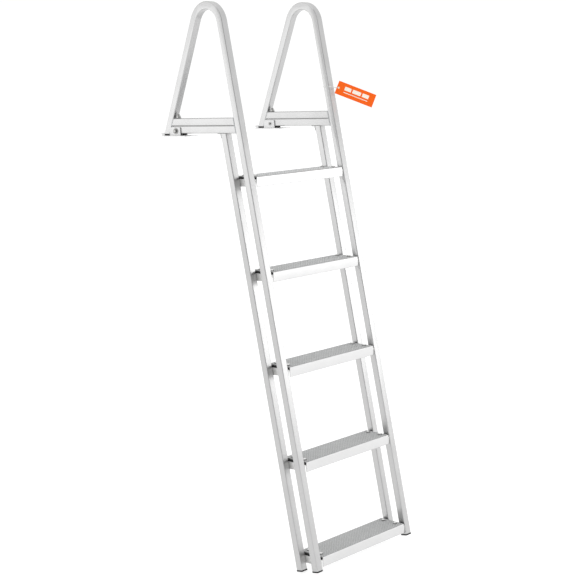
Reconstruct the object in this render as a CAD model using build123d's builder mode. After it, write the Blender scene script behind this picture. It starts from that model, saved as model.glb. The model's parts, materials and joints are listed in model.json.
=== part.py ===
"""Boarding ladder for a dock or boat: two bent-tube side frames, five treads and two deck brackets.

Millimetres.  X runs across the ladder, -Y faces the water and the climber, +Y lies over the deck
and Z is up.  The origin is on the deck surface, in the middle of the eight deck screw holes.
"""
import os
from math import cos, radians, sin, tan

from build123d import *

os.makedirs("parts", exist_ok=True)

# ---------------------------------------------------------------- driving dimensions
# Side frames, bent and welded from one size of square tube
frame_width = 455.0          # over the outer faces of the two side frames
tube = 25.0                  # square tube, outside
tube_wall = 2.0
tube_corner = 3.0            # outer corner radius of the tube
stile_lean = 10.4            # degrees from vertical, foot towards the water
leg_lean = 24.2              # degrees from vertical, top towards the water
stile_spacing = 72.5         # front face to front face of the two stiles, measured level
bend_radius = 65.5           # centreline radius of the handrail bend
stile_reach = 311.0          # bracket pin to the front stile's front face, at the bar joint
leg_setback = 26.0           # bracket pin to the leg's front face, at the bar joint

# Deck bracket and its release pin
plate_thickness = 3.0
plate_corner = 4.0
bracket_front = 62.0         # base plate, forward of the pin
heel_clearance = 0.75        # leg cap to the heel stop
ear_front = 22.0
ear_rear = 32.0
ear_height = 30.0
ear_corner = 5.0
ear_clearance = 0.5          # each side of the lower bar
heel_stop_length = 14.0      # bent-up tail of the base plate
heel_stop_angle = 48.0
plate_flange = 12.0          # base plate beyond each ear, for the deck screws
deck_hole_from_middle = 22.0 # across, from the bar's middle plane
deck_hole_spacing = 100.0    # front to rear
deck_hole_radius = 2.75
pin_radius = 4.0
pin_height = 18.0            # pin axis above the deck
pin_running_clearance = 0.08
pin_flange_radius = 10.0
pin_flange_thickness = 1.8
pin_grip_across_flats = 13.0
pin_grip_length = 6.0
pin_tip = 6.0                # stands out past the inner ear
pin_chamfer = 1.2
leg_cap_thickness = 6.0      # the leg stands on the base plate through this cap

# Treads
step_count = 5
step_pitch = 300.0
first_step_drop = 162.0      # top of the first tread below the joint between the two bars
tread_depth = 102.0
tread_height = 33.0
tread_wall = 2.5
tread_corner = 2.0
tread_overhang = 3.0         # ahead of the stiles' front faces, at the top of the tread
tread_end_gap = 6.0          # between the tread's end and the stile
mat_thickness = 1.2
mat_margin = 2.5
foot_below_last_step = 38.0  # last tread's top to the front corner of the stile's cut end

# Bearers that carry the treads, and the rubber strips on them
bearer_leg = 3.0
bearer_width = 36.0
bearer_height = 24.0
bearer_end_clearance = 0.5
strip_thickness = 5.0
strip_edge = 0.5
bolt_radius = 3.0
bolt_hole_clearance = 0.3
bolt_spacing = 52.0          # front to rear
bolt_from_stile = 22.5
bolt_head_across_flats = 10.0
bolt_head_height = 4.0
bolt_tail = 2.5
washer_radius = 7.0
washer_thickness = 1.2
nut_height = 6.0

# Plastic end caps
cap_thickness = 5.0
cap_lip = 0.6                # the cap stands this much proud of the tube
cap_plug_length = 16.0
cap_plug_clearance = 0.2

# Fasteners of the side frames
stud_radius = 4.0
stud_flange_radius = 6.5
stud_flange_thickness = 2.0
stud_tail = 4.0
stud_hole_clearance = 0.25
stud_washer_radius = 8.0
stud_washer_thickness = 1.6
stud_nut_across_flats = 13.0
stud_nut_height = 8.0
clip_leg = 16.0
clip_thickness = 3.0
clip_width = 24.0
clip_screw_radius = 2.5
clip_screw_head_radius = 4.2
clip_screw_head_height = 2.6
clip_screw_length = 10.0
clip_screw_from_corner = 10.0
thread_clearance = 0.05

# Retail swing tag on the right front stile
tag_length = 134.0
tag_width = 45.0
tag_thickness = 0.6
tag_corner = 1.5
tag_hole_radius = 2.6
tag_hole_from_end = 6.5
tag_height = 135.0           # eyelet above the deck
tag_facing = 44.5            # degrees, turned from straight ahead towards the left
tag_droop = 23.5             # degrees below level
tag_aside = 15.0             # eyelet beyond the stile's outer front edge, across the tag
tag_ahead = 14.0             # tag's face ahead of that edge
eyelet_hole_radius = 1.9
eyelet_rim_radius = 3.8
eyelet_rim_thickness = 0.4
loop_radius = 0.6
loop_clearance = 1.5
loop_reach = 3.5             # the loop runs this far off each face of the tag

# ---------------------------------------------------------------- worked-out places
bar_underside = plate_thickness + leg_cap_thickness
bar_joint = bar_underside + tube
side_x = (frame_width - tube) / 2
inner_face_x = side_x - tube / 2
sides = {"left": -1, "right": 1}

stile_slope = tan(radians(stile_lean))
stile_up = Vector(0, sin(radians(stile_lean)), cos(radians(stile_lean)))
stile_back = Vector(0, cos(radians(stile_lean)), -sin(radians(stile_lean)))
leg_up = Vector(0, -sin(radians(leg_lean)), cos(radians(leg_lean)))
leg_front = Vector(0, -cos(radians(leg_lean)), -sin(radians(leg_lean)))
level_tube_leg = tube / cos(radians(leg_lean))
level_tube_stile = tube / cos(radians(stile_lean))
leg_foot_y = leg_setback + (bar_joint - bar_underside) * tan(radians(leg_lean)) + level_tube_leg / 2
leg_cap_rear = leg_foot_y + level_tube_leg / 2 + cap_lip
bracket_rear = leg_cap_rear + heel_clearance + plate_thickness

step_tops = [bar_joint - first_step_drop - step_pitch * n for n in range(step_count)]
foot_z = step_tops[-1] - foot_below_last_step


def stile_face_y(z):
    """Y of the front stile's front face at height z."""
    return -stile_reach + (z - bar_joint) * stile_slope


def tread_front_y(top):
    """Y of the front face of the tread whose top is at this height."""
    return stile_face_y(top) - tread_overhang


def bolt_places(top):
    """Centres of the four bolts of one tread, at the top of its mat."""
    middle = tread_front_y(top) + tread_depth / 2
    out = inner_face_x - bolt_from_stile
    return [(x, middle + y, top) for x in (-out, out) for y in (-bolt_spacing / 2, bolt_spacing / 2)]


all_bolts = [place for top in step_tops for place in bolt_places(top)]
strip_top_drop = mat_thickness + tread_wall
bearer_top_drop = strip_top_drop + strip_thickness
bearer_length = tread_depth - 2 * tread_wall - 2 * bearer_end_clearance
nut_seat_drop = bearer_top_drop + bearer_leg

# Centrelines in the side view, as (Y, Z)
foot_corner = Vector(0, stile_face_y(foot_z), foot_z)
front_foot = foot_corner + stile_back * (tube / 2)
rear_foot = front_foot + stile_back * (stile_spacing * cos(radians(stile_lean)))
leg_joint = Vector(0, leg_setback, bar_joint) - leg_front * (tube / 2)
leg_end = leg_joint - leg_up * (bar_joint / cos(radians(leg_lean)))
# The two centrelines meet where front_foot + a * stile_up = leg_joint + b * leg_up
gap = leg_joint - front_foot
turn = stile_up.Y * leg_up.Z - stile_up.Z * leg_up.Y
rise = (gap.Y * leg_up.Z - gap.Z * leg_up.Y) / turn
handrail_corner = front_foot + stile_up * rise

# Where the rear stile's rear face meets the underside of the lower bar
clip_corner_y = stile_face_y(bar_underside) + stile_spacing + level_tube_stile
clip_face_plane = Plane(origin=(0, clip_corner_y, bar_underside), x_dir=(1, 0, 0), z_dir=stile_back)


def at_side(point, x):
    """The same point of the side view, on the side frame at x."""
    return (x, point.Y, point.Z)


# ---------------------------------------------------------------- side frames
for side, sign in sides.items():
    x = sign * side_x

    # Handrail: the front stile, the bend over the top and the leg down to the deck are one tube
    with BuildPart() as handrail:
        with BuildLine(Plane.YZ.offset(x)) as route:
            FilletPolyline(
                (front_foot.Y, front_foot.Z),
                (handrail_corner.Y, handrail_corner.Z),
                (leg_end.Y, leg_end.Z),
                radius=bend_radius,
            )
        with BuildSketch(Plane(origin=at_side(front_foot, x), x_dir=(1, 0, 0), z_dir=stile_up)):
            RectangleRounded(tube, tube, tube_corner)
            RectangleRounded(
                tube - 2 * tube_wall, tube - 2 * tube_wall, tube_corner - tube_wall, mode=Mode.SUBTRACT
            )
        sweep(path=route.wires()[0])
        # The leg is cut level, flush with the underside of the lower bar
        with BuildSketch(Plane.XY.offset(bar_underside)):
            with Locations((x, leg_setback + level_tube_leg / 2)):
                Rectangle(2 * tube, 4 * tube)
        extrude(amount=-2 * bar_underside, mode=Mode.SUBTRACT)
    handrail.part.label = f"handrail_{side}"
    export_step(handrail.part, f"parts/handrail_{side}.step")

    # Rear stile: square-cut at the foot, level-cut and welded at the underside of the lower bar
    with BuildPart() as rear_stile:
        with BuildSketch(Plane(origin=at_side(rear_foot, x), x_dir=(1, 0, 0), z_dir=stile_up)):
            RectangleRounded(tube, tube, tube_corner)
            RectangleRounded(
                tube - 2 * tube_wall, tube - 2 * tube_wall, tube_corner - tube_wall, mode=Mode.SUBTRACT
            )
        extrude(amount=(bar_joint - foot_z) / stile_up.Z + tube)
        split(bisect_by=Plane.XY.offset(bar_underside), keep=Keep.BOTTOM)
        with BuildSketch(clip_face_plane.offset(-2 * tube_wall)):
            with Locations((x, -clip_screw_from_corner)):
                Circle(clip_screw_radius + thread_clearance)
        extrude(amount=3 * tube_wall, mode=Mode.SUBTRACT)
    rear_stile.part.label = f"rear_stile_{side}"
    export_step(rear_stile.part, f"parts/rear_stile_{side}.step")

    # The two bars over the deck, cut to the slopes of the stile and of the leg
    stile_rear_plane = Plane(
        origin=Vector(0, -stile_reach, bar_joint) + stile_back * tube, x_dir=(1, 0, 0), z_dir=stile_back
    )
    leg_front_plane = Plane(origin=(0, leg_setback, bar_joint), x_dir=(1, 0, 0), z_dir=leg_front)
    bar_span = stile_reach + leg_setback + 2 * tube
    for bar, low in {"lower": bar_underside, "upper": bar_joint}.items():
        with BuildPart() as rail_bar:
            with BuildSketch(Plane.XZ.offset(stile_reach + tube)):
                with Locations((x, low + tube / 2)):
                    RectangleRounded(tube, tube, tube_corner)
                    RectangleRounded(
                        tube - 2 * tube_wall, tube - 2 * tube_wall, tube_corner - tube_wall,
                        mode=Mode.SUBTRACT,
                    )
            extrude(amount=-bar_span)
            split(bisect_by=stile_rear_plane, keep=Keep.TOP)
            split(bisect_by=leg_front_plane, keep=Keep.TOP)
            # The tie stud comes up through the lower bar's top wall and through the upper bar
            stud_base = bar_joint - 2 * tube_wall if bar == "lower" else bar_joint - tube_wall
            stud_cut = 3 * tube_wall if bar == "lower" else tube + 2 * tube_wall
            with BuildSketch(Plane.XY.offset(stud_base)):
                with Locations((x, 0)):
                    Circle(stud_radius + stud_hole_clearance)
            extrude(amount=stud_cut, mode=Mode.SUBTRACT)
            if bar == "lower":
                with BuildSketch(Plane.YZ.offset(x - tube)):
                    with Locations((0, pin_height)):
                        Circle(pin_radius + pin_running_clearance)
                extrude(amount=2 * tube, mode=Mode.SUBTRACT)
                with BuildSketch(Plane.XY.offset(bar_underside - tube_wall)):
                    with Locations((x, clip_corner_y + clip_screw_from_corner)):
                        Circle(clip_screw_radius + thread_clearance)
                extrude(amount=3 * tube_wall, mode=Mode.SUBTRACT)
        rail_bar.part.label = f"{bar}_bar_{side}"
        export_step(rail_bar.part, f"parts/{bar}_bar_{side}.step")

    # Angle clip that ties the rear stile's top to the lower bar
    with BuildPart() as clip:
        face_end = Vector(0, clip_corner_y, bar_underside) - stile_up * clip_leg
        outer_end = face_end + stile_back * clip_thickness
        knee_z = bar_underside - clip_thickness
        knee_y = outer_end.Y + (knee_z - outer_end.Z) * stile_slope
        with BuildSketch(Plane.YZ.offset(x - clip_width / 2)):
            with BuildLine():
                Polyline(
                    (clip_corner_y, bar_underside),
                    (clip_corner_y + clip_leg, bar_underside),
                    (clip_corner_y + clip_leg, knee_z),
                    (knee_y, knee_z),
                    (outer_end.Y, outer_end.Z),
                    (face_end.Y, face_end.Z),
                    close=True,
                )
            make_face()
        extrude(amount=clip_width)
        with BuildSketch(Plane.XY.offset(bar_underside + clip_thickness)):
            with Locations((x, clip_corner_y + clip_screw_from_corner)):
                Circle(clip_screw_radius + bolt_hole_clearance)
        extrude(amount=-3 * clip_thickness, mode=Mode.SUBTRACT)
        with BuildSketch(clip_face_plane.offset(-clip_thickness)):
            with Locations((x, -clip_screw_from_corner)):
                Circle(clip_screw_radius + bolt_hole_clearance)
        extrude(amount=3 * clip_thickness, mode=Mode.SUBTRACT)
    clip.part.label = f"rear_stile_clip_{side}"
    export_step(clip.part, f"parts/rear_stile_clip_{side}.step")

    # Bearers: one angle under each end of each tread, welded to the inner faces of both stiles
    for number, top in enumerate(step_tops, start=1):
        with BuildPart() as bearer:
            bearer_top = top - bearer_top_drop
            middle = tread_front_y(top) + tread_depth / 2
            inward = -sign * bearer_width / 2
            with BuildSketch(Plane.XZ.offset(-middle - bearer_length / 2)):
                with Locations((sign * inner_face_x + inward, bearer_top - bearer_leg / 2)):
                    Rectangle(bearer_width, bearer_leg)
                with Locations((sign * (inner_face_x - bearer_leg / 2), bearer_top - bearer_height / 2)):
                    Rectangle(bearer_leg, bearer_height)
            extrude(amount=bearer_length)
            with BuildSketch(Plane.XY.offset(bearer_top + bearer_leg)):
                with Locations(*[(bx, by) for bx, by, _ in bolt_places(top) if bx * sign > 0]):
                    Circle(bolt_radius + bolt_hole_clearance)
            extrude(amount=-3 * bearer_leg, mode=Mode.SUBTRACT)
        bearer.part.label = f"step_bearer_{side}_{number}"
        export_step(bearer.part, f"parts/step_bearer_{side}_{number}.step")

    # Rubber strips between the bearers and the treads, five alike
    with BuildPart() as strips:
        for top in step_tops:
            middle = tread_front_y(top) + tread_depth / 2
            strip_width = bearer_width - 2 * strip_edge
            with BuildSketch(Plane.XY.offset(top - bearer_top_drop)):
                with Locations((sign * (inner_face_x - bearer_width / 2), middle)):
                    Rectangle(strip_width, bearer_length)
                with Locations(*[(bx, by) for bx, by, _ in bolt_places(top) if bx * sign > 0]):
                    Circle(bolt_radius + bolt_hole_clearance, mode=Mode.SUBTRACT)
            extrude(amount=strip_thickness)
    strips.part.label = f"bearer_strips_{side}"
    export_step(strips.part, f"parts/bearer_strips_{side}.step")

    # Square foot caps, pushed into the cut ends of the two stiles
    plug = tube - 2 * tube_wall - 2 * cap_plug_clearance
    for place, foot in {"front": front_foot, "rear": rear_foot}.items():
        with BuildPart() as foot_cap:
            cap_plane = Plane(origin=at_side(foot, x), x_dir=(1, 0, 0), z_dir=stile_up)
            with BuildSketch(cap_plane):
                RectangleRounded(tube + 2 * cap_lip, tube + 2 * cap_lip, tube_corner + cap_lip)
            extrude(amount=-cap_thickness)
            with BuildSketch(cap_plane):
                RectangleRounded(plug, plug, tube_corner - tube_wall)
            extrude(amount=cap_plug_length)
        foot_cap.part.label = f"foot_cap_{place}_{side}"
        export_step(foot_cap.part, f"parts/foot_cap_{place}_{side}.step")

    # Heel cap under the leg: the leg stands on the bracket's base plate through it
    with BuildPart() as leg_cap:
        with BuildSketch(Plane(origin=(x, leg_foot_y, bar_underside), x_dir=(1, 0, 0), z_dir=leg_up)):
            RectangleRounded(plug, plug, tube_corner - tube_wall)
        extrude(amount=cap_plug_length, both=True)
        split(bisect_by=Plane.XY.offset(bar_underside), keep=Keep.TOP)
        with BuildSketch(Plane.XY.offset(plate_thickness)):
            with Locations((x, leg_foot_y)):
                RectangleRounded(tube, level_tube_leg + 2 * cap_lip, tube_corner)
        extrude(amount=leg_cap_thickness)
    leg_cap.part.label = f"leg_cap_{side}"
    export_step(leg_cap.part, f"parts/leg_cap_{side}.step")

    # Deck bracket: a base plate with two ears and a bent-up heel stop
    half_inside = tube / 2 + ear_clearance
    half_outside = half_inside + plate_thickness
    with BuildPart() as bracket:
        with BuildSketch(Plane.XY):
            with Locations((x, (bracket_rear - bracket_front) / 2)):
                plate = Rectangle(2 * (half_outside + plate_flange), bracket_rear + bracket_front)
            fillet(plate.vertices(), plate_corner)
            with Locations((x, 0)):
                with GridLocations(2 * deck_hole_from_middle, deck_hole_spacing, 2, 2):
                    Circle(deck_hole_radius, mode=Mode.SUBTRACT)
        extrude(amount=plate_thickness)
        stop_run = heel_stop_length * cos(radians(heel_stop_angle))
        stop_rise = heel_stop_length * sin(radians(heel_stop_angle))
        skew = plate_thickness * sin(radians(heel_stop_angle))
        lift = plate_thickness * cos(radians(heel_stop_angle))
        with BuildSketch(Plane.YZ.offset(x - half_outside)):
            with BuildLine():
                Polyline(
                    (bracket_rear - plate_thickness, 0),
                    (bracket_rear, 0),
                    (bracket_rear + stop_run, stop_rise),
                    (bracket_rear + stop_run - skew, stop_rise + lift),
                    (bracket_rear - plate_thickness, plate_thickness),
                    close=True,
                )
            make_face()
        extrude(amount=2 * half_outside)
        with BuildSketch(Plane.YZ.offset(x - half_outside)):
            with Locations(((ear_rear - ear_front) / 2, ear_height / 2)):
                ear = Rectangle(ear_rear + ear_front, ear_height)
            fillet(ear.vertices().group_by(Axis.Z)[-1], ear_corner)
            with Locations((0, pin_height)):
                Circle(pin_radius + pin_running_clearance, mode=Mode.SUBTRACT)
        extrude(amount=2 * half_outside)
        with BuildSketch(Plane.YZ.offset(x - half_inside)):
            with Locations(((ear_rear - ear_front) / 2, plate_thickness + ear_height / 2)):
                Rectangle(2 * (ear_rear + ear_front), ear_height)
            with Locations((bracket_rear + stop_run, ear_height / 2 + plate_thickness)):
                Rectangle(bracket_rear, ear_height, mode=Mode.SUBTRACT)
        extrude(amount=2 * half_inside, mode=Mode.SUBTRACT)
    bracket.part.label = f"deck_bracket_{side}"
    export_step(bracket.part, f"parts/deck_bracket_{side}.step")

    # Release pin: pushed in from outside, through both ears and the lower bar
    with BuildPart() as pin:
        face_x = x + sign * half_outside
        outward = Plane(origin=(face_x, 0, pin_height), x_dir=(0, 1, 0), z_dir=(sign, 0, 0))
        with BuildSketch(outward):
            Circle(pin_radius)
        extrude(amount=-(2 * half_outside + pin_tip))
        tip = pin.faces().sort_by(Axis.X)[0 if sign > 0 else -1]
        chamfer(tip.edges(), pin_chamfer)
        with BuildSketch(outward):
            Circle(pin_flange_radius)
        extrude(amount=pin_flange_thickness)
        with BuildSketch(outward.offset(pin_flange_thickness)):
            RegularPolygon(pin_grip_across_flats / 2, 6, major_radius=False)
        extrude(amount=pin_grip_length)
    pin.part.label = f"release_pin_{side}"
    export_step(pin.part, f"parts/release_pin_{side}.step")

# ---------------------------------------------------------------- treads
tread_length = 2 * (inner_face_x - tread_end_gap)
for number, top in enumerate(step_tops, start=1):
    front = tread_front_y(top)
    middle = front + tread_depth / 2
    metal_top = top - mat_thickness
    holes = [(bx, by) for bx, by, _ in bolt_places(top)]

    # Tread: an inverted channel, open below
    with BuildPart() as tread:
        with BuildSketch(Plane.YZ.offset(-tread_length / 2)):
            with Locations((middle, metal_top - (tread_height - mat_thickness) / 2)):
                channel = Rectangle(tread_depth, tread_height - mat_thickness)
            fillet(channel.vertices().group_by(Axis.Z)[-1], tread_corner)
            with Locations((middle, metal_top - tread_wall - tread_height / 2)):
                Rectangle(tread_depth - 2 * tread_wall, tread_height, mode=Mode.SUBTRACT)
        extrude(amount=tread_length)
        with BuildSketch(Plane.XY.offset(metal_top + tread_wall)):
            with Locations(*holes):
                Circle(bolt_radius + bolt_hole_clearance)
        extrude(amount=-3 * tread_wall, mode=Mode.SUBTRACT)
    tread.part.label = f"tread_{number}"
    export_step(tread.part, f"parts/tread_{number}.step")

    # Non-slip mat, stuck to the tread and held by the bolts
    with BuildPart() as mat:
        with BuildSketch(Plane.XY.offset(metal_top)):
            with Locations((0, middle)):
                Rectangle(tread_length, tread_depth - 2 * mat_margin)
            with Locations(*holes):
                Circle(bolt_radius + bolt_hole_clearance, mode=Mode.SUBTRACT)
        extrude(amount=mat_thickness)
    mat.part.label = f"tread_mat_{number}"
    export_step(mat.part, f"parts/tread_mat_{number}.step")

# ---------------------------------------------------------------- fasteners, each kind one group
with BuildPart() as tread_bolts:
    for bx, by, bz in all_bolts:
        with BuildSketch(Plane.XY.offset(bz + washer_thickness)):
            with Locations((bx, by)):
                RegularPolygon(bolt_head_across_flats / 2, 6, major_radius=False)
        extrude(amount=bolt_head_height)
        shank = washer_thickness + nut_seat_drop + nut_height + bolt_tail
        with BuildSketch(Plane.XY.offset(bz + washer_thickness)):
            with Locations((bx, by)):
                Circle(bolt_radius)
        extrude(amount=-shank)
tread_bolts.part.label = "tread_bolts"
export_step(tread_bolts.part, "parts/tread_bolts.step")

with BuildPart() as tread_washers:
    for bx, by, bz in all_bolts:
        with BuildSketch(Plane.XY.offset(bz)):
            with Locations((bx, by)):
                Circle(washer_radius)
                Circle(bolt_radius + bolt_hole_clearance, mode=Mode.SUBTRACT)
        extrude(amount=washer_thickness)
tread_washers.part.label = "tread_washers"
export_step(tread_washers.part, "parts/tread_washers.step")

with BuildPart() as tread_nuts:
    for bx, by, bz in all_bolts:
        with BuildSketch(Plane.XY.offset(bz - nut_seat_drop)):
            with Locations((bx, by)):
                RegularPolygon(bolt_head_across_flats / 2, 6, major_radius=False)
                Circle(bolt_radius + thread_clearance, mode=Mode.SUBTRACT)
        extrude(amount=-nut_height)
tread_nuts.part.label = "tread_nuts"
export_step(tread_nuts.part, "parts/tread_nuts.step")

upper_bar_top = bar_joint + tube
stud_top = upper_bar_top + stud_washer_thickness + stud_nut_height + stud_tail
side_places = [(-side_x, 0), (side_x, 0)]

# Tie studs: a flange inside the lower bar, a shank up through both bars
with BuildPart() as tie_studs:
    with BuildSketch(Plane.XY.offset(bar_joint - tube_wall)):
        with Locations(*side_places):
            Circle(stud_flange_radius)
    extrude(amount=-stud_flange_thickness)
    with BuildSketch(Plane.XY.offset(bar_joint - tube_wall)):
        with Locations(*side_places):
            Circle(stud_radius)
    extrude(amount=stud_top - bar_joint + tube_wall)
tie_studs.part.label = "tie_studs"
export_step(tie_studs.part, "parts/tie_studs.step")

with BuildPart() as tie_washers:
    with BuildSketch(Plane.XY.offset(upper_bar_top)):
        with Locations(*side_places):
            Circle(stud_washer_radius)
            Circle(stud_radius + stud_hole_clearance, mode=Mode.SUBTRACT)
    extrude(amount=stud_washer_thickness)
tie_washers.part.label = "tie_washers"
export_step(tie_washers.part, "parts/tie_washers.step")

with BuildPart() as tie_nuts:
    with BuildSketch(Plane.XY.offset(upper_bar_top + stud_washer_thickness)):
        with Locations(*side_places):
            RegularPolygon(stud_nut_across_flats / 2, 6, major_radius=False)
            Circle(stud_radius + thread_clearance, mode=Mode.SUBTRACT)
    extrude(amount=stud_nut_height)
tie_nuts.part.label = "tie_nuts"
export_step(tie_nuts.part, "parts/tie_nuts.step")

# Clip screws: one up into each lower bar, one into each rear stile
with BuildPart() as clip_screws:
    for sign in sides.values():
        upward = Plane.XY.offset(bar_underside - clip_thickness)
        inward = clip_face_plane.offset(clip_thickness)
        seats = {
            (sign * side_x, clip_corner_y + clip_screw_from_corner): (upward, 1),
            (sign * side_x, -clip_screw_from_corner): (inward, -1),
        }
        for seat, (plane, way) in seats.items():
            with BuildSketch(plane):
                with Locations(seat):
                    Circle(clip_screw_radius)
            extrude(amount=way * clip_screw_length)
            with BuildSketch(plane):
                with Locations(seat):
                    Circle(clip_screw_head_radius)
            extrude(amount=-way * clip_screw_head_height)
clip_screws.part.label = "clip_screws"
export_step(clip_screws.part, "parts/clip_screws.step")

# ---------------------------------------------------------------- swing tag
across = Vector(cos(radians(tag_facing)), -sin(radians(tag_facing)), 0)
ahead = Vector(-sin(radians(tag_facing)), -cos(radians(tag_facing)), 0)
stile_edge = Vector(frame_width / 2, stile_face_y(tag_height), tag_height)
eyelet_centre = stile_edge + across * tag_aside + ahead * tag_ahead
along = across * cos(radians(tag_droop)) - Vector(0, 0, 1) * sin(radians(tag_droop))
tag_plane = Plane(origin=eyelet_centre, x_dir=along, z_dir=ahead)

with BuildPart() as hang_tag:
    with BuildSketch(tag_plane.offset(-tag_thickness / 2)):
        with Locations((tag_length / 2 - tag_hole_from_end, 0)):
            RectangleRounded(tag_length, tag_width, tag_corner)
        Circle(tag_hole_radius, mode=Mode.SUBTRACT)
    extrude(amount=tag_thickness)
hang_tag.part.label = "hang_tag"
export_step(hang_tag.part, "parts/hang_tag.step")

# Eyelet: a barrel through the card with a rim on each face
with BuildPart() as tag_eyelet:
    with BuildSketch(tag_plane.offset(-tag_thickness / 2 - eyelet_rim_thickness)):
        Circle(tag_hole_radius)
        Circle(eyelet_hole_radius, mode=Mode.SUBTRACT)
    extrude(amount=tag_thickness + 2 * eyelet_rim_thickness)
    for start in (-tag_thickness / 2 - eyelet_rim_thickness, tag_thickness / 2):
        with BuildSketch(tag_plane.offset(start)):
            Circle(eyelet_rim_radius)
            Circle(eyelet_hole_radius, mode=Mode.SUBTRACT)
        extrude(amount=eyelet_rim_thickness)
tag_eyelet.part.label = "tag_eyelet"
export_step(tag_eyelet.part, "parts/tag_eyelet.step")

# Nylon loop: round the stile and through the eyelet
with BuildPart() as tag_loop:
    inner_x = inner_face_x - loop_clearance
    outer_x = frame_width / 2 + loop_clearance
    front_y = stile_face_y(tag_height) - loop_clearance
    rear_y = front_y + level_tube_stile + 2 * loop_clearance
    rise_across = tube * tan(radians(tag_droop)) / 2
    loop_points = [
        eyelet_centre + ahead * loop_reach,
        Vector(inner_x, front_y + rise_across * stile_slope, tag_height + rise_across),
        Vector(inner_x, rear_y + rise_across * stile_slope, tag_height + rise_across),
        Vector(outer_x, rear_y, tag_height),
        eyelet_centre - ahead * loop_reach,
    ]
    for knot, following in zip(loop_points, loop_points[1:] + loop_points[:1]):
        with BuildSketch(Plane(origin=knot, z_dir=following - knot)):
            Circle(loop_radius)
        extrude(amount=(following - knot).length)
        with Locations(knot):
            Sphere(loop_radius)
tag_loop.part.label = "tag_loop"
export_step(tag_loop.part, "parts/tag_loop.step")
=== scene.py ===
# %% [markdown]
# # A boarding ladder for a dock or boat
#
# The ladder is two bent-tube side frames with five treads between them, and two
# brackets that stay on the deck.  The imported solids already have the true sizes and
# places, so this lesson loads them first, then lays a finish on each one and models
# the small things that solids leave out: weld beads, studded mats, domed bolts, turned
# pins and the printed tag.  Everything is in metres, with Z up and the water at -Y.

# %% Load the frame
import json
from math import cos, radians, sin, tan

import bpy
from mathutils import Matrix, Vector


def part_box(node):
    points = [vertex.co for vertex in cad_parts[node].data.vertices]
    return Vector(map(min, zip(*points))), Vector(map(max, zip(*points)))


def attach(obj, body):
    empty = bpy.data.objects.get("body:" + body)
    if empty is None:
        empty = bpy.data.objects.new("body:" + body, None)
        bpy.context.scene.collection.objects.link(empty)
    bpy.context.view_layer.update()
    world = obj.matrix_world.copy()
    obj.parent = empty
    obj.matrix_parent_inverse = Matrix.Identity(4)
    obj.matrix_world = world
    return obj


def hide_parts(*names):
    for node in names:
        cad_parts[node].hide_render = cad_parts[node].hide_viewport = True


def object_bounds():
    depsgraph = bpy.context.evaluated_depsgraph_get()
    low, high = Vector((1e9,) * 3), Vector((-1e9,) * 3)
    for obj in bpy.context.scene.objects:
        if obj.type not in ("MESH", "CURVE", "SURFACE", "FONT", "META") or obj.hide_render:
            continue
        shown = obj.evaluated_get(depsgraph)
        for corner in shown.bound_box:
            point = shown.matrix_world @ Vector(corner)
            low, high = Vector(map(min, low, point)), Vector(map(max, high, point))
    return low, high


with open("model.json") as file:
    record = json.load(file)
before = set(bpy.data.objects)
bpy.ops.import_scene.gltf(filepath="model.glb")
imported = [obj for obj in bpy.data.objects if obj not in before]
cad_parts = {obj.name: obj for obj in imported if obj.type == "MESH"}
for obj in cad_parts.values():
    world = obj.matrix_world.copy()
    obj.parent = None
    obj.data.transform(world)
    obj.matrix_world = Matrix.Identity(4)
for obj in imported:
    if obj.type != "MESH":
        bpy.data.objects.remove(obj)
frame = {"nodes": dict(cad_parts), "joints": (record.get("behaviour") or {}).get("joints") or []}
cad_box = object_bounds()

nodes = frame["nodes"]
MM = 0.001
SIDES = {"left": -1, "right": 1}
TREADS = range(1, 6)

# %% [markdown]
# ## Camera, floor and light
#
# The ladder is seen from the water, turned so that the left side frame is nearest, and
# from a little above the deck.  A long lens keeps the stiles almost parallel.
# The camera's three directions are given outright and put into its matrix, which is
# exact; aiming it with a Track To constraint would lose the small roll.

# %% Camera
CAMERA_PLACE = Vector((-2.9877, -3.3410, 0.1767))
CAMERA_RIGHT = Vector((0.708, -0.705, -0.044))
CAMERA_UP = Vector((0.131, 0.069, 0.989))
SENSOR_WIDTH, LENS = 36.0, 81.42           # both in millimetres
SHIFT_X, SHIFT_Y = -0.0148, -0.0432        # in parts of the frame's width
FAR_CLIP = 100.0


def looking(right, up, place):
    """A camera's matrix from its right and up directions."""
    back = right.cross(up).normalized()
    right = up.cross(back).normalized()
    up = back.cross(right)
    turn = Matrix((right, up, back)).transposed().to_4x4()
    return Matrix.Translation(place) @ turn


camera_data = bpy.data.cameras.new("studio_camera")
camera_data.sensor_width, camera_data.lens = SENSOR_WIDTH, LENS
camera_data.shift_x, camera_data.shift_y = SHIFT_X, SHIFT_Y
camera_data.clip_end = FAR_CLIP
camera = bpy.data.objects.new("studio_camera", camera_data)
camera.matrix_world = looking(CAMERA_RIGHT, CAMERA_UP, CAMERA_PLACE)
bpy.context.scene.collection.objects.link(camera)
bpy.context.scene.camera = camera
print("camera at", [round(v, 3) for v in camera.location])

# %% [markdown]
# The floor is plain pale paper, and a steady glow of its own stands for the even light
# that a studio throws on it, so it keeps no hard shadow.  Satin metal shows what it
# reflects: the room is white nearly all round and darker in one corner, which gives the
# tubes their grey sides, and three large soft lamps put the bright faces where they
# belong.

# %% Colours and the one node helper


def colour(hex_value):
    """An sRGB hex value as a linear RGBA colour."""
    out = []
    for start in (0, 2, 4):
        part = int(hex_value[start:start + 2], 16) / 255
        dark = part <= 0.04045
        out.append(part / 12.92 if dark else ((part + 0.055) / 1.055) ** 2.4)
    return (*out, 1.0)


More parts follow.
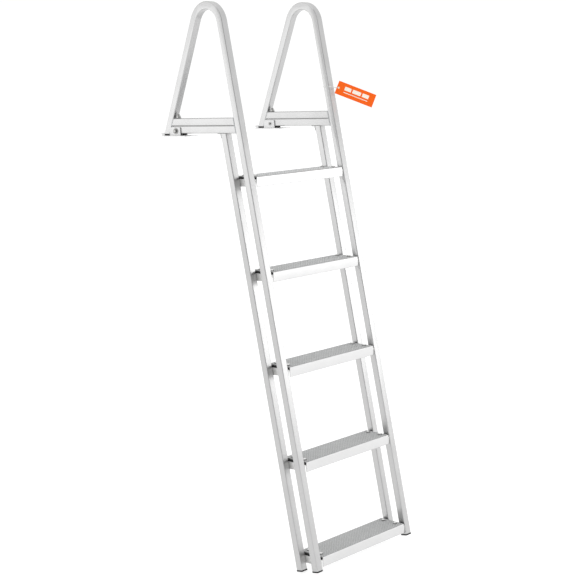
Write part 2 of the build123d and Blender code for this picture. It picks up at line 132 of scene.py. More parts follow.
def add_node(material, kind, settings=None, links=None):
    """A new shader node with its settings, and with (node, output) links to its inputs."""
    tree = material.node_tree
    node = tree.nodes.new(kind)
    for name, value in (settings or {}).items():
        if isinstance(name, str) and hasattr(node, name) and name not in node.inputs:
            setattr(node, name, value)
        else:
            node.inputs[name].default_value = value
    for name, (source, output) in (links or {}).items():
        tree.links.new(source.outputs[output], node.inputs[name])
    return node


def new_material(name, base, metallic, roughness):
    """A material with one Principled shader; returns the material and that shader."""
    material = bpy.data.materials.new(name)
    material.use_nodes = True
    shader = material.node_tree.nodes["Principled BSDF"]
    shader.inputs["Base Color"].default_value = colour(base)
    shader.inputs["Metallic"].default_value = metallic
    shader.inputs["Roughness"].default_value = roughness
    return material, shader


def link(material, source, output, shader, socket):
    """Links a node's output to one of the shader's sockets."""
    material.node_tree.links.new(source.outputs[output], shader.inputs[socket])


# %% Floor
FLOOR_SIZE = 60.0
FLOOR_GAP = 0.5 * MM             # keeps the feet and the floor from flickering
FLOOR_GLOW = 0.82
bpy.ops.object.select_all(action="DESELECT")
floor_z = cad_box[0][2] - FLOOR_GAP
bpy.ops.mesh.primitive_plane_add(size=FLOOR_SIZE, location=(0, 0, floor_z))
floor = bpy.context.object
floor.name = "studio_floor"
paper, paper_shader = new_material("lit_white_paper", "A0A0A0", 0.0, 0.95)
paper_shader.inputs["Specular IOR Level"].default_value = 0.1
paper_shader.inputs["Emission Color"].default_value = colour("FFFFFF")
paper_shader.inputs["Emission Strength"].default_value = FLOOR_GLOW
floor.data.materials.append(paper)
print("floor at", round(floor_z, 4))

# %% Room and lamps
DARK_CORNER = (-0.70, -0.70, 0.12)         # the direction in which the room is darkest
CORNER_EDGE, CORNER_CORE = 0.45, 0.9       # where it starts and where it is full, as cosines
ROOM_LIGHT, CORNER_LIGHT = 1.05, 0.58
world = bpy.data.worlds.new("white_room")
world.use_nodes = True
room = world.node_tree.nodes["Background"]
direction = add_node(world, "ShaderNodeTexCoord")
towards_dark = add_node(
    world, "ShaderNodeVectorMath", {"operation": "DOT_PRODUCT", 1: DARK_CORNER},
    {0: (direction, "Generated")},
)
brightness = add_node(
    world, "ShaderNodeMapRange",
    {
        "interpolation_type": "SMOOTHSTEP", "From Min": CORNER_EDGE, "From Max": CORNER_CORE,
        "To Min": ROOM_LIGHT, "To Max": CORNER_LIGHT,
    },
    {"Value": (towards_dark, "Value")},
)
room.inputs["Color"].default_value = (1, 1, 1, 1)
link(world, brightness, "Result", room, "Strength")
bpy.context.scene.world = world
bpy.context.scene.view_settings.view_transform = "Standard"

LAMPS = {
    # name: (place, target, width, height, watts)
    "key_from_the_water": ((3.2, -3.8, 0.0), (0, -0.4, -0.5), 2.4, 1.3, 19.0),
    "overhead": ((0.0, -0.2, 3.2), (0, -0.3, -0.6), 3.0, 3.0, 12.0),
    "dock_side_fill": ((-3.0, 2.6, 0.15), (0, -0.3, 0.1), 2.6, 1.2, 8.0),
}
for name, (place, target, width, height, watts) in LAMPS.items():
    lamp_data = bpy.data.lights.new(name, "AREA")
    lamp_data.shape = "RECTANGLE"
    lamp_data.size, lamp_data.size_y = width, height
    lamp_data.energy = watts
    lamp = bpy.data.objects.new(name, lamp_data)
    lamp.location = place
    aim = Vector(target) - Vector(place)
    lamp.rotation_euler = aim.to_track_quat("-Z", "Y").to_euler()
    bpy.context.scene.collection.objects.link(lamp)
print("lamps:", len(LAMPS))

# %% [markdown]
# ## The metals
#
# The tubes are 6063 aluminium, extruded, then satin etched and clear anodised.  Etching
# leaves a very fine even grain, and the die leaves faint lines along each tube.  The
# grain is a noise at about half a millimetre; the lines are the same kind of noise
# pulled out along the tube by a Mapping node.  Both are kept shallow, because an
# anodised tube looks flat from a step away and only shows them in a glancing light.

# %% Extruded and anodised aluminium
STILE_LEAN = radians(10.4)
LEG_LEAN = radians(24.2)
LINE_SPACING = 0.8 * MM       # die lines; the real ones are finer and wouldn't show
LINE_LENGTH = 160 * MM
GRAIN = 0.45 * MM             # etched grain, drawn coarse for the same reason
CLOUD = 70 * MM               # slow change of tone along a tube
BEND_FROM, BEND_TO = -200 * MM, -140 * MM  # the middle of the handrail's bend, along Y


def drawn_lines(material, where, along, turn):
    """Noise pulled out into lines along one axis, turned about X."""
    scale = [1 / LINE_SPACING] * 3
    scale["XYZ".index(along)] = 1 / LINE_LENGTH
    upright = add_node(
        material, "ShaderNodeMapping", {"Rotation": (turn, 0, 0)}, {"Vector": (where, "Object")}
    )
    pulled = add_node(
        material, "ShaderNodeMapping", {"Scale": tuple(scale)}, {"Vector": (upright, "Vector")}
    )
    return add_node(
        material, "ShaderNodeTexNoise", {"Scale": 1.0, "Detail": 2.0},
        {"Vector": (pulled, "Vector")},
    )


def extruded_metal(name, light, dark, roughness, along, turn=0.0, leg_turn=None):
    """Etched and anodised extrusion: cloudy tone, fine grain and faint die lines."""
    material, shader = new_material(name, light, 1.0, roughness)
    where = add_node(material, "ShaderNodeTexCoord")
    lines, lines_out = drawn_lines(material, where, along, turn), "Fac"
    if leg_turn is not None:
        # The handrail's leg leans the other way: change over in the middle of the bend
        apart = add_node(material, "ShaderNodeSeparateXYZ", None, {"Vector": (where, "Object")})
        change = add_node(
            material, "ShaderNodeMapRange",
            {"From Min": BEND_FROM, "From Max": BEND_TO}, {"Value": (apart, "Y")},
        )
        leg_lines = drawn_lines(material, where, along, leg_turn)
        lines = add_node(
            material, "ShaderNodeMix", {"data_type": "FLOAT"},
            {"Factor": (change, "Result"), "A": (lines, "Fac"), "B": (leg_lines, "Fac")},
        )
        lines_out = "Result"
    cloud = add_node(
        material, "ShaderNodeTexNoise", {"Scale": 1 / CLOUD, "Detail": 4.0},
        {"Vector": (where, "Object")},
    )
    tint = add_node(
        material, "ShaderNodeMix", {"data_type": "RGBA", 6: colour(dark), 7: colour(light)},
        {"Factor": (cloud, "Fac")},
    )
    link(material, tint, 2, shader, "Base Color")
    rubbed = add_node(
        material, "ShaderNodeMapRange",
        {
            "From Min": 0.25, "From Max": 0.75,
            "To Min": roughness - 0.05, "To Max": roughness + 0.05,
        },
        {"Value": (cloud, "Fac")},
    )
    link(material, rubbed, "Result", shader, "Roughness")
    grain = add_node(
        material, "ShaderNodeTexNoise", {"Scale": 1 / GRAIN, "Detail": 3.0},
        {"Vector": (where, "Object")},
    )
    etched = add_node(
        material, "ShaderNodeBump", {"Strength": 0.15, "Distance": 0.05 * MM},
        {"Height": (grain, "Fac")},
    )
    scored = add_node(
        material, "ShaderNodeBump", {"Strength": 0.25, "Distance": 0.05 * MM},
        {"Height": (lines, lines_out), "Normal": (etched, "Normal")},
    )
    link(material, scored, "Normal", shader, "Normal")
    return material


TUBE_FINISH = ("C2C2C2", "B8B8B8", 0.32)   # light and dark tone, roughness
rail_metal = extruded_metal(
    "satin_anodised_handrail", *TUBE_FINISH, "Z", STILE_LEAN, -LEG_LEAN
)
stile_metal = extruded_metal("satin_anodised_stile", *TUBE_FINISH, "Z", STILE_LEAN)
bar_metal = extruded_metal("satin_anodised_bar", *TUBE_FINISH, "Y")
tread_metal = extruded_metal("bright_anodised_tread", "DDDDDD", "D3D3D3", 0.36, "X")
angle_metal = extruded_metal("mill_finish_angle", "F0F0EF", "E2E2E1", 0.62, "Y")
for metal in (rail_metal, stile_metal, bar_metal, tread_metal, angle_metal):
    print(metal.name, len(metal.node_tree.nodes), "nodes")

# %% [markdown]
# The brackets are folded stainless sheet, blasted with glass bead, so they are rougher
# and have no direction.  The pins, studs, screws and lock nuts are bright stainless.
# The tread bolts and nuts are polished; the washers under the heads are painted dark
# grey as painted shade round each head, so each head is a bright spot in a darker ring.
# Weld metal is aluminium again, with more waves than the tube and greyer specks spread
# at random.  One speckled pattern serves them all, at different sizes and depths.

# %% Stainless steel and weld metal


def speckled_metal(name, light, dark, roughness, speck, depth):
    """Metal with an even, directionless surface: blasted, turned fine or as cast."""
    material, shader = new_material(name, light, 1.0, roughness)
    where = add_node(material, "ShaderNodeTexCoord")
    speckle = add_node(
        material, "ShaderNodeTexNoise", {"Scale": 1 / speck, "Detail": 4.0},
        {"Vector": (where, "Object")},
    )
    tint = add_node(
        material, "ShaderNodeMix", {"data_type": "RGBA", 6: colour(dark), 7: colour(light)},
        {"Factor": (speckle, "Fac")},
    )
    link(material, tint, 2, shader, "Base Color")
    rubbed = add_node(
        material, "ShaderNodeMapRange",
        {
            "From Min": 0.3, "From Max": 0.7,
            "To Min": roughness - 0.06, "To Max": roughness + 0.06,
        },
        {"Value": (speckle, "Fac")},
    )
    link(material, rubbed, "Result", shader, "Roughness")
    bumps = add_node(
        material, "ShaderNodeBump", {"Strength": 0.4, "Distance": depth},
        {"Height": (speckle, "Fac")},
    )
    link(material, bumps, "Normal", shader, "Normal")
    return material


bracket_metal = speckled_metal(
    "bead_blasted_stainless", "E4E4E4", "D6D6D6", 0.55, speck=0.6 * MM, depth=0.04 * MM
)
SMOOTH = {"speck": 1.5 * MM, "depth": 0.02 * MM}
bolt_metal = speckled_metal("bright_stainless_fastener", "B4B4B2", "8E8E8D", 0.22, **SMOOTH)
dome_metal = speckled_metal("polished_bolt_head", "F4F4F3", "DEDEDD", 0.24, **SMOOTH)
# The washers are painted dark grey as painted shade round the bolt heads and nuts.
washer_metal_painted_shade = speckled_metal("washer_dark_painted_shade", "8C8C8B", "6E6E6D", 0.40, **SMOOTH)
weld_metal = speckled_metal(
    "brushed_weld_bead", "DADCDD", "9EA0A2", 0.33, speck=1.2 * MM, depth=0.08 * MM
)
for metal in (bracket_metal, bolt_metal, dome_metal, washer_metal_painted_shade, weld_metal):
    print(metal.name, len(metal.node_tree.nodes), "nodes")

# %% [markdown]
# ## Rubber, plastic and card
#
# The mats on the treads are grey moulded PVC, matt, with a fine leather grain between
# the studs and a little dust in it.  The strips under the treads are black EPDM sponge.
# The end caps are black polyethylene, smoother, with the faint orange-peel of a mould.

# %% Moulded black and grey plastics
DUST = 25 * MM                # size of the dusty clouds


def moulded(name, light, dark, roughness, grain, depth, sheen=0.0):
    """Matt moulded plastic or rubber with a grain and dusty clouds."""
    material, shader = new_material(name, light, 0.0, roughness)
    shader.inputs["Specular IOR Level"].default_value = 0.35
    shader.inputs["Sheen Weight"].default_value = sheen
    where = add_node(material, "ShaderNodeTexCoord")
    dust = add_node(
        material, "ShaderNodeTexNoise", {"Scale": 1 / DUST, "Detail": 5.0},
        {"Vector": (where, "Object")},
    )
    tint = add_node(
        material, "ShaderNodeMix", {"data_type": "RGBA", 6: colour(dark), 7: colour(light)},
        {"Factor": (dust, "Fac")},
    )
    link(material, tint, 2, shader, "Base Color")
    leather = add_node(
        material, "ShaderNodeTexVoronoi", {"Scale": 1 / grain}, {"Vector": (where, "Object")}
    )
    bumps = add_node(
        material, "ShaderNodeBump", {"Strength": 0.35, "Distance": depth},
        {"Height": (leather, "Distance")},
    )
    link(material, bumps, "Normal", shader, "Normal")
    return material


# The sheet's duller grey is painted shade between the studs; the studs' lighter grey is painted
# light on their tops.
mat_sheet_painted_shade = moulded("grey_pvc_mat_sheet_painted_shade", "A9AAAA", "969797", 0.66, 0.9 * MM, 0.12 * MM)
mat_stud_painted_light = moulded("grey_pvc_mat_stud_painted_light", "D8D9D9", "C6C7C7", 0.58, 0.9 * MM, 0.06 * MM)
strip_rubber = moulded(
    "black_epdm_strip", "1B1B1C", "101011", 0.80, 0.7 * MM, 0.10 * MM, sheen=0.05
)
cap_plastic = moulded("black_polyethylene_cap", "222224", "151516", 0.45, 1.1 * MM, 0.03 * MM)
for plastic in (mat_sheet_painted_shade, mat_stud_painted_light, strip_rubber, cap_plastic):
    print(plastic.name, len(plastic.node_tree.nodes), "nodes")

# %% [markdown]
# ## The tag's nylon, brass and card
#
# The tag is coated orange card with a pale brass eyelet, on a loop of clear nylon.  The
# print is drawn by the material: each block is the place where the card's own
# coordinates lie between two values, which needs no picture and stays sharp close up.

# %% Clear nylon and pale brass
nylon, nylon_shader = new_material("clear_nylon_loop", "F2F4F2", 0.0, 0.25)
nylon_shader.inputs["Transmission Weight"].default_value = 0.35
nylon_shader.inputs["IOR"].default_value = 1.53
nylon_where = add_node(nylon, "ShaderNodeTexCoord")
nylon_noise = add_node(
    nylon, "ShaderNodeTexNoise", {"Scale": 1 / (3 * MM), "Detail": 2.0},
    {"Vector": (nylon_where, "Object")},
)
nylon_bump = add_node(
    nylon, "ShaderNodeBump", {"Strength": 0.2, "Distance": 0.05 * MM},
    {"Height": (nylon_noise, "Fac")},
)
link(nylon, nylon_bump, "Normal", nylon_shader, "Normal")

eyelet_brass = speckled_metal(
    "pale_brass_eyelet", "F6E7C4", "DCC690", 0.30, speck=1.0 * MM, depth=0.02 * MM
)
print(nylon.name, "and", eyelet_brass.name)

# %% The printed card
# Left, right, low and high of each mark: three plain blocks, then one thin line
CARD_MARKS = [
    (0.20, 0.37, 0.47, 0.75),
    (0.41, 0.63, 0.47, 0.75),
    (0.67, 0.84, 0.47, 0.75),
    (0.20, 0.84, 0.28, 0.33),
]


def printed_card():
    """Coated orange card with pale marks; its UV map runs 0 to 1 along and across."""
    material, shader = new_material("coated_orange_card", "FF6A12", 0.0, 0.45)
    shader.inputs["Specular IOR Level"].default_value = 0.2
    shader.inputs["Coat Weight"].default_value = 0.08
    shader.inputs["Coat Roughness"].default_value = 0.2
    where = add_node(material, "ShaderNodeUVMap", {"uv_map": "card"})
    apart = add_node(material, "ShaderNodeSeparateXYZ", None, {"Vector": (where, "UV")})

    def between(axis, low, high):
        """1 where a coordinate lies between two values."""
        over = add_node(
            material, "ShaderNodeMath", {"operation": "GREATER_THAN", 1: low}, {0: (apart, axis)}
        )
        under = add_node(
            material, "ShaderNodeMath", {"operation": "LESS_THAN", 1: high}, {0: (apart, axis)}
        )
        return add_node(
            material, "ShaderNodeMath", {"operation": "MULTIPLY"},
            {0: (over, "Value"), 1: (under, "Value")},
        )

    marks = None
    for left, right, low, high in CARD_MARKS:
        inside = add_node(
            material, "ShaderNodeMath", {"operation": "MULTIPLY"},
            {0: (between("X", left, right), "Value"), 1: (between("Y", low, high), "Value")},
        )
        if marks is None:
            marks = inside
        else:
            marks = add_node(
                material, "ShaderNodeMath", {"operation": "MAXIMUM"},
                {0: (marks, "Value"), 1: (inside, "Value")},
            )
    paper_grain = add_node(
        material, "ShaderNodeTexNoise", {"Scale": 1 / (1.2 * MM), "Detail": 3.0},
        {"Vector": (add_node(material, "ShaderNodeTexCoord"), "Object")},
    )
    orange = add_node(
        material, "ShaderNodeMix",
        {"data_type": "RGBA", 6: colour("FF5F00"), 7: colour("FF6E0A")},
        {"Factor": (paper_grain, "Fac")},
    )
    printed = add_node(
        material, "ShaderNodeMix", {"data_type": "RGBA", 7: colour("FFF6E8")},
        {"Factor": (marks, "Value"), 6: (orange, 2)},
    )
    link(material, printed, 2, shader, "Base Color")
    bumps = add_node(
        material, "ShaderNodeBump", {"Strength": 0.1, "Distance": 0.05 * MM},
        {"Height": (paper_grain, "Fac")},
    )
    link(material, bumps, "Normal", shader, "Normal")
    return material


card_print = printed_card()
print(card_print.name, len(CARD_MARKS), "marks")

# %% [markdown]
# ## Finishes on the solids
#
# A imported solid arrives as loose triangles, each corner its own point, so its curved
# faces look cut.  A finished copy is merged, its flat faces are joined, its edges get
# the small radius that a saw, a press or a mould leaves, and the copy then stands for
# the solid.  An edge without a radius never catches a highlight, which is why even a
# third of a millimetre is worth having.  The tubes' corners are already round in the
# solids, and the nylon loop has none, so they are only merged.

# %% Merge a copy of a solid and ease its edges


def only(piece):
    """Selects one piece and makes it active."""
    bpy.ops.object.select_all(action="DESELECT")
    piece.select_set(True)
    bpy.context.view_layer.objects.active = piece


def apply_all(piece):
    """Applies every modifier of a piece."""
    only(piece)
    for modifier in list(piece.modifiers):
        bpy.ops.object.modifier_apply(modifier=modifier.name)


def rounded(piece, width, segments=2, angle=30):
    """Bevels the edges where faces meet at more than an angle."""
    bevel = piece.modifiers.new("round", "BEVEL")
    bevel.width = width
    bevel.segments = segments
    bevel.limit_method = "ANGLE"
    bevel.angle_limit = radians(angle)
    apply_all(piece)


def smooth(piece, angle=35):
    """Smooth shading, with edges kept where faces meet at more than an angle."""
    only(piece)
    bpy.ops.object.shade_smooth_by_angle(angle=radians(angle))


def finish_piece(piece, name, material, body):
    """Names a made piece, gives it its material and puts it on its body."""
    piece.name = name
    piece.data.name = name
    piece.data.materials.clear()
    piece.data.materials.append(material)
    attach(piece, body)
    return piece


def eased_copy(node, material, edge, body="ladder", segments=2):
    """A merged copy of a solid with rounded edges, standing for the solid."""
    piece = nodes[node].copy()
    piece.data = nodes[node].data.copy()
    for key in list(piece.keys()):
        del piece[key]
    piece.parent = None
    bpy.context.scene.collection.objects.link(piece)
    only(piece)
    bpy.ops.object.mode_set(mode="EDIT")
    bpy.ops.mesh.select_all(action="SELECT")
    bpy.ops.mesh.remove_doubles(threshold=0.005 * MM)
    bpy.ops.mesh.customdata_custom_splitnormals_clear()
    bpy.ops.mesh.dissolve_limited(angle_limit=radians(0.5))
    bpy.ops.object.mode_set(mode="OBJECT")
    if edge:
        rounded(piece, edge, segments, angle=40)
    smooth(piece)
    finish_piece(piece, node + "_finished", material, body)
    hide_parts(node)
    return piece


for side in SIDES:
    eased_copy(f"handrail_{side}", rail_metal, 0)
    eased_copy(f"rear_stile_{side}", stile_metal, 0)
    eased_copy(f"upper_bar_{side}", bar_metal, 0)
    eased_copy(f"lower_bar_{side}", bar_metal, 0)
    eased_copy(f"deck_bracket_{side}", bracket_metal, 0.5 * MM)
    eased_copy(f"rear_stile_clip_{side}", bracket_metal, 0.5 * MM)
    for cap in ("foot_cap_front", "foot_cap_rear", "leg_cap"):
        eased_copy(f"{cap}_{side}", cap_plastic, 0.8 * MM)
    eased_copy(f"bearer_strips_{side}", strip_rubber, 0.3 * MM)
    for number in TREADS:
        eased_copy(f"step_bearer_{side}_{number}", angle_metal, 0.4 * MM)
for number in TREADS:
    eased_copy(f"tread_{number}", tread_metal, 0.25 * MM, segments=1)
for node in ("tread_washers", "tie_washers"):
    eased_copy(node, washer_metal_painted_shade, 0.25 * MM)
for node in ("tie_studs", "clip_screws"):
    eased_copy(node, bolt_metal, 0.25 * MM)
eased_copy("tag_eyelet", eyelet_brass, 0.1 * MM, body="tag")
eased_copy("tag_loop", nylon, 0)

# %% [markdown]
# ## Studded mats
#
# Each tread has a thin grey mat with small round studs all over it, so that a wet foot
# can't slide off.  One stud is a low cone with a cut top; two Array modifiers, one
# along the tread and one across it, lay the rest.  The sheet under the studs is a
# bevelled slab painted a duller grey as painted shade between the studs, and the studs
# are painted a lighter grey as painted light on their tops.  Modelled studs shade and
# cast their own small shadows, which a bump on a flat slab does not.

# %% One mat per tread
STUD_PITCH = 8.0 * MM         # the real ones are finer and wouldn't show
STUD_FOOT, STUD_TOP = 2.8 * MM, 2.1 * MM
STUD_HEIGHT = 0.6 * MM
MAT_EDGE = 0.25 * MM


def slab(low, high):
    """A box from its lowest corner to its highest, made at its place."""
    bpy.ops.object.select_all(action="DESELECT")
    middle = (Vector(low) + Vector(high)) / 2
    bpy.ops.mesh.primitive_cube_add(size=1.0, location=middle)
    box = bpy.context.object
    box.scale = Vector(high) - Vector(low)
    bpy.ops.object.transform_apply(location=True, rotation=True, scale=True)
    return box


def joined(pieces):
    """Several objects as one."""
    bpy.ops.object.select_all(action="DESELECT")
    for piece in pieces:
        piece.select_set(True)
    bpy.context.view_layer.objects.active = pieces[0]
    bpy.ops.object.join()
    return bpy.context.object


def array_of(piece, count, step):
    """Lays count copies of a piece along a step."""
    array = piece.modifiers.new("row", "ARRAY")
    array.use_relative_offset = False
    array.use_constant_offset = True
    array.constant_offset_displace = step
    array.count = count
    apply_all(piece)


for number in TREADS:
    low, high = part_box(f"tread_mat_{number}")
    sheet_top = high.z - STUD_HEIGHT
    backing = slab(low, (high.x, high.y, sheet_top))
    rounded(backing, MAT_EDGE)
    backing.data.materials.append(mat_sheet_painted_shade)
    backing.data.materials.append(mat_stud_painted_light)
    sizes = (high.x - low.x, high.y - low.y)
    counts = [int((size - 2 * STUD_FOOT) // STUD_PITCH) + 1 for size in sizes]
    first = [(a + b - (n - 1) * STUD_PITCH) / 2 for a, b, n in zip(low, high, counts)]
    bpy.ops.object.select_all(action="DESELECT")
    bpy.ops.mesh.primitive_cone_add(
        vertices=8, radius1=STUD_FOOT, radius2=STUD_TOP, depth=STUD_HEIGHT,
        end_fill_type="NGON", location=(*first, high.z - STUD_HEIGHT / 2),
    )
    studs = bpy.context.object
    bpy.ops.object.transform_apply(location=True, rotation=True, scale=True)
    studs.data.materials.append(mat_stud_painted_light)
    array_of(studs, counts[0], (STUD_PITCH, 0, 0))
    array_of(studs, counts[1], (0, STUD_PITCH, 0))
    mat = joined([backing, studs])
    smooth(mat)
    mat.name = mat.data.name = f"studded_mat_{number}"
    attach(mat, "ladder")
    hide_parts(f"tread_mat_{number}")
print("studs on a mat:", counts[0] * counts[1], "materials:", len(mat.data.materials))

# %% [markdown]
# ## Bolts and nuts
#
# Four bolts hold each tread down on its rubber strips.  Their heads are domed, so a
# bare foot doesn't catch.  One head is a six-sided cylinder whose top face is inset
# and lifted four times, which is quicker than a boolean with a sphere and keeps the six
# flats sharp.  The bolt and its nut are modelled once and copied to their twenty places.

# %% A domed hexagon


def prism(sides, radius, low, high, place=(0, 0)):
    """An upright cylinder or prism between two heights."""
    bpy.ops.object.select_all(action="DESELECT")
    bpy.ops.mesh.primitive_cylinder_add(
        vertices=sides, radius=radius, depth=high - low, location=(*place, (high + low) / 2)
    )
    bpy.ops.object.transform_apply(location=True, rotation=True, scale=True)
    return bpy.context.object


def raise_top(piece, steps, upwards=True):
    """Insets the end face and moves it out, once for each (inset, lift)."""
    mesh = piece.data
    heights = [v.co.z for v in mesh.vertices]
    end = max(heights) if upwards else min(heights)
    only(piece)
    bpy.ops.object.mode_set(mode="EDIT")
    bpy.ops.mesh.select_all(action="DESELECT")
    bpy.ops.object.mode_set(mode="OBJECT")
    for face in mesh.polygons:
        face.select = abs(face.center.z - end) < 0.01 * MM
    bpy.ops.object.mode_set(mode="EDIT")
    for inset, lift in steps:
        bpy.ops.mesh.inset(thickness=inset, depth=0)
        bpy.ops.transform.translate(value=(0, 0, lift if upwards else -lift))
    bpy.ops.object.mode_set(mode="OBJECT")


def turned_copy(piece, place):
    """A copy of a finished piece with its own mesh, put in place by a matrix."""
    again = piece.copy()
    again.data = piece.data.copy()
    bpy.context.scene.collection.objects.link(again)
    again.data.transform(place)
    return again


HEX = 1 / cos(radians(30))       # across corners over across flats
BOLT_FLATS = 5.0 * MM            # half the size across flats
WASHER = 1.2 * MM
HEAD_HEIGHT = 2.3 * MM           # up to where the dome starts
DOME = [                         # (inset, lift) of each ring of the dome
    (0.5 * MM, 0.55 * MM), (0.9 * MM, 0.55 * MM), (1.2 * MM, 0.4 * MM), (1.0 * MM, 0.15 * MM)
]
SHANK_RADIUS, SHANK_END = 3.0 * MM, -22.0 * MM
NUT_LOW, NUT_HIGH = -17.6 * MM, -11.75 * MM
head = prism(6, BOLT_FLATS * HEX, WASHER, WASHER + HEAD_HEIGHT)
rounded(head, 0.25 * MM, 1)
raise_top(head, DOME)
shank = prism(16, SHANK_RADIUS, SHANK_END, WASHER)
raise_top(shank, [(0.5 * MM, 0.5 * MM)], upwards=False)
bolt = joined([head, shank])
nut = prism(6, BOLT_FLATS * HEX, NUT_LOW, NUT_HIGH)
rounded(nut, 0.2 * MM, 1)
raise_top(nut, [(0.5 * MM, 0.35 * MM)], upwards=False)
print("one bolt", len(bolt.data.polygons), "faces, one nut", len(nut.data.polygons))

# %% Twenty places, four to a tread
BOLT_X, BOLT_Y = 180 * MM, 26 * MM         # from the middle of a mat
places = []
for number in TREADS:
    low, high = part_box(f"tread_mat_{number}")
    middle = (low.y + high.y) / 2
    for x in (-BOLT_X, BOLT_X):
        for y in (-BOLT_Y, BOLT_Y):
            places.append(Matrix.Translation((x, middle + y, high.z)))
for kind, pattern in {"tread_bolts": bolt, "tread_nuts": nut}.items():
    copies = [turned_copy(pattern, place) for place in places]
    bpy.data.objects.remove(pattern)
    group = joined(copies)
    smooth(group, 30)
    finish_piece(group, "domed_" + kind, dome_metal, "ladder")
    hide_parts(kind)
    print(kind, len(group.data.polygons), "faces")

# %% [markdown]
# The upper and lower bars of each side are tied by a stud with a lock nut on top.  The
# nut has a chamfered hexagon and a plain round collar that holds its nylon ring.

# %% Lock nuts on the tie studs
FRAME_MIDDLE = 215 * MM          # X of each side frame's middle, either way
TIE_FLATS = 6.5 * MM             # half the size across flats
HEXAGON_HEIGHT, HEXAGON_EDGE = 5.6 * MM, [(0.8 * MM, 0.4 * MM)]
COLLAR_RADIUS, COLLAR_FOOT = 5.6 * MM, 5.2 * MM
COLLAR_EDGE = [(0.7 * MM, 0.3 * MM)]       # (inset, lift), as for the dome
lock_nuts = []
low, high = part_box("tie_nuts")
for sign in SIDES.values():
    x = sign * FRAME_MIDDLE
    hexagon = prism(6, TIE_FLATS * HEX, low.z, low.z + HEXAGON_HEIGHT, (x, 0))
    rounded(hexagon, 0.25 * MM, 1)
    raise_top(hexagon, HEXAGON_EDGE)
    collar_top = high.z - COLLAR_EDGE[0][1]
    collar = prism(32, COLLAR_RADIUS, low.z + COLLAR_FOOT, collar_top, (x, 0))
    raise_top(collar, COLLAR_EDGE)
    lock_nuts += [hexagon, collar]
lock_nut = joined(lock_nuts)
smooth(lock_nut, 30)
finish_piece(lock_nut, "tie_lock_nuts", bolt_metal, "ladder")
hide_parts("tie_nuts")
print(lock_nut.name, len(lock_nut.data.polygons), "faces")

# %% [markdown]
# ## Release pins
#
# Each deck bracket holds its side frame with one pin.  It is turned from bar: a plain
# shank with a chamfered tip, a flange that stops against the ear, and a six-sided
# grip.  It is modelled upright from cylinders and then laid along X.

# %% Two turned pins
PIN_RADIUS, TIP_CHAMFER = 4.0 * MM, 1.2 * MM
FLANGE_RADIUS, FLANGE = 10.0 * MM, 1.8 * MM
GRIP_FLATS, GRIP = 6.5 * MM, 6.0 * MM
GRIP_DOME = [(0.9 * MM, 0.5 * MM), (1.6 * MM, 0.35 * MM), (1.6 * MM, 0.15 * MM)]
for side, sign in SIDES.items():
    low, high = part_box(f"release_pin_{side}")
    length = high.x - low.x
    shank = prism(32, PIN_RADIUS, TIP_CHAMFER, length - GRIP - FLANGE)
    raise_top(shank, [(TIP_CHAMFER, TIP_CHAMFER)], upwards=False)
    plate = prism(40, FLANGE_RADIUS, length - GRIP - FLANGE, length - GRIP)
    rounded(plate, 0.4 * MM)
    hexagon = prism(6, GRIP_FLATS * HEX, length - GRIP - 0.1 * MM, length - 1.0 * MM)
    rounded(hexagon, 0.3 * MM, 1)
    raise_top(hexagon, GRIP_DOME)
    pin = joined([shank, plate, hexagon])
    axis_y, axis_z = (low.y + high.y) / 2, (low.z + high.z) / 2
    lay = Matrix.Rotation(radians(90 * sign), 4, "Y")
    tip_x = high.x if sign < 0 else low.x
    pin.data.transform(Matrix.Translation((tip_x, axis_y, axis_z)) @ lay)
    smooth(pin, 30)
    finish_piece(pin, f"turned_pin_{side}", bolt_metal, f"pin_{side}")
    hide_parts(f"release_pin_{side}")
    print(pin.name, [round(v / MM, 1) for v in pin.dimensions])

# %% [markdown]
# ## Weld beads
#
# Every joint of the side frames is TIG welded, which leaves a row of overlapping
# ripples.  One ripple is a small ball; an Array modifier sets the rest at the welder's
# step along the joint.  About half of each ball is buried in the metal.

# %% Rows of ripples
RIPPLE_STEP = 1.5 * MM
RIPPLE_RADIUS = 1.7 * MM
STAND_OUT = 0.35 * MM


def weld_row(start, end):
    """Ripples from one point to another."""
    start, end = Vector(start), Vector(end)
    run = end - start
    count = max(2, round(run.length / RIPPLE_STEP) + 1)
    bpy.ops.object.select_all(action="DESELECT")
    bpy.ops.mesh.primitive_uv_sphere_add(
        segments=8, ring_count=6, radius=RIPPLE_RADIUS, location=start
    )
    bead = bpy.context.object
    bpy.ops.object.transform_apply(location=True, rotation=True, scale=True)
    array_of(bead, count, run / (count - 1))
    return bead


BAR_LOW, BAR_JOINT, BAR_TOP = 9 * MM, 34 * MM, 59 * MM
STILE_REACH, LEG_SETBACK = 311 * MM, 26 * MM
STILE_SPACING = 72.5 * MM
LEVEL_TUBE = 25 * MM / cos(STILE_LEAN)     # a leaning tube's depth, measured level


def stile_face(z):
    """Y of the front stile's front face at a height."""
    return -STILE_REACH + (z - BAR_JOINT) * tan(STILE_LEAN)


def stile_rear(z):
    """Y of the front stile's rear face at a height."""
    return stile_face(z) + LEVEL_TUBE


def leg_face(z):
    """Y of the leg's front face at a height."""
    return LEG_SETBACK - (z - BAR_JOINT) * tan(LEG_LEAN)


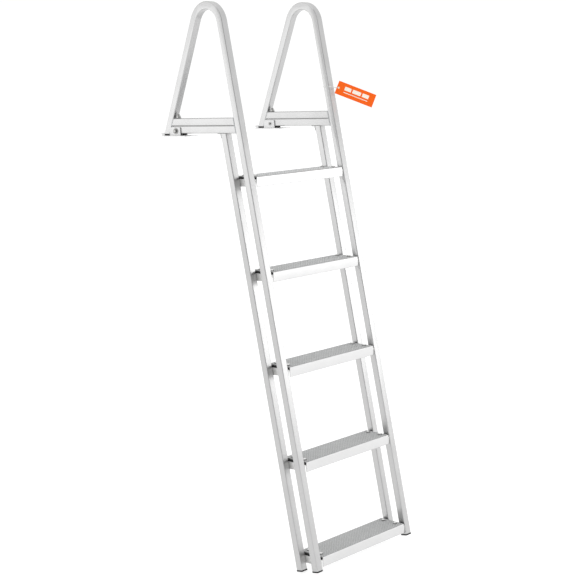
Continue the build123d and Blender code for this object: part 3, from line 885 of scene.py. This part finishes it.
SIDE_ROWS, LEVEL_ROWS = 11.9 * MM, 10 * MM  # from the middle of a bar to its beads
ROW_END, EDGE_DROP = 2 * MM, 0.7 * MM
BEARER_BEAD = 201.3 * MM         # just off the inner faces of the side frames
for side, sign in SIDES.items():
    rows = []
    middle = sign * FRAME_MIDDLE
    for face, proud in ((stile_rear, STAND_OUT), (leg_face, -STAND_OUT)):
        bottom, top = face(BAR_LOW) + proud, face(BAR_TOP) + proud
        for x in (middle - SIDE_ROWS, middle + SIDE_ROWS):
            rows.append(weld_row((x, bottom, BAR_LOW + ROW_END), (x, top, BAR_TOP - ROW_END)))
        for z in (BAR_LOW + EDGE_DROP, BAR_TOP - EDGE_DROP):
            y = face(z) + proud
            rows.append(weld_row((middle - LEVEL_ROWS, y, z), (middle + LEVEL_ROWS, y, z)))
    for number in TREADS:
        low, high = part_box(f"step_bearer_{side}_{number}")
        inner = sign * BEARER_BEAD
        z = low.z + 0.3 * MM
        for stile in (stile_face(z), stile_face(z) + STILE_SPACING):
            front = max(low.y, stile) + 1 * MM
            back = min(high.y, stile + LEVEL_TUBE) - 1 * MM
            rows.append(weld_row((inner, front, z), (inner, back, z)))
    beads = joined(rows)
    smooth(beads, 60)
    finish_piece(beads, f"weld_beads_{side}", weld_metal, "ladder")
    print(beads.name, len(beads.data.polygons), "faces")

# %% [markdown]
# ## The swing tag
#
# A retail tag hangs from the right stile on a nylon loop.  It is thin coated card that
# has curled a little, so it starts as a grid, is curled along its length, and gets its
# thickness from a Solidify modifier.  Its own UV map places the print.  Plain blocks
# stand where a shop's tag would carry words.

# %% A curled card in the eyelet's plane
TAG_LENGTH, TAG_WIDTH = 134 * MM, 45 * MM
TAG_THICKNESS = 0.6 * MM
TAG_HOLE_FROM_END, TAG_HOLE_RADIUS = 6.5 * MM, 2.2 * MM
TAG_DROOP = radians(23.5)
CURL, CUP = 2.2 * MM, 1.4 * MM   # along the card and across it
FLAT_END = 0.12                  # the part of its length at the eyelet that stays flat
swing = next(j for j in frame["joints"] if j["name"] == "tag_swing")
eyelet = Vector(swing["pos_m"])
facing = -Vector(swing["axis"]).normalized()
level = Vector((-facing.y, facing.x, 0)).normalized()
along = level * cos(TAG_DROOP) - Vector((0, 0, 1)) * sin(TAG_DROOP)
over = facing.cross(along)
tag_place = Matrix((along, over, facing)).transposed().to_4x4()
tag_place.translation = eyelet

bpy.ops.object.select_all(action="DESELECT")
bpy.ops.mesh.primitive_grid_add(x_subdivisions=52, y_subdivisions=18, size=1.0)
card = bpy.context.object
card.data.uv_layers[0].name = "card"
for vertex in card.data.vertices:
    u, v = vertex.co.x + 0.5, vertex.co.y
    curled = max(0.0, u - FLAT_END)
    lift = CURL * curled ** 2 - CUP * v * v * curled
    vertex.co = (u * TAG_LENGTH - TAG_HOLE_FROM_END, v * TAG_WIDTH, lift)
print("card corners:", [round(c / MM, 1) for c in card.data.vertices[0].co])

# %% Punch the eyelet's hole, give the card its thickness and hang it
only(card)
bpy.ops.object.mode_set(mode="EDIT")
bpy.ops.mesh.select_all(action="DESELECT")
bpy.ops.object.mode_set(mode="OBJECT")
for face in card.data.polygons:
    face.select = Vector(face.center[:2]).length < TAG_HOLE_RADIUS
bpy.ops.object.mode_set(mode="EDIT")
bpy.ops.mesh.delete(type="FACE")
bpy.ops.object.mode_set(mode="OBJECT")
solid = card.modifiers.new("card", "SOLIDIFY")
solid.thickness = TAG_THICKNESS
solid.offset = 0.0
apply_all(card)
card.data.transform(tag_place)
smooth(card, 40)
finish_piece(card, "curled_tag_card", card_print, "tag")
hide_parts("hang_tag")
print(card.name, len(card.data.polygons), "faces")

# %% [markdown]
# ## Sizes
#
# The made pieces should fill the same box as the solids; the solids' box is printed.

# %% Print the solids' box and finish
print("cad   ", [[round(v, 4) for v in corner] for corner in cad_box])
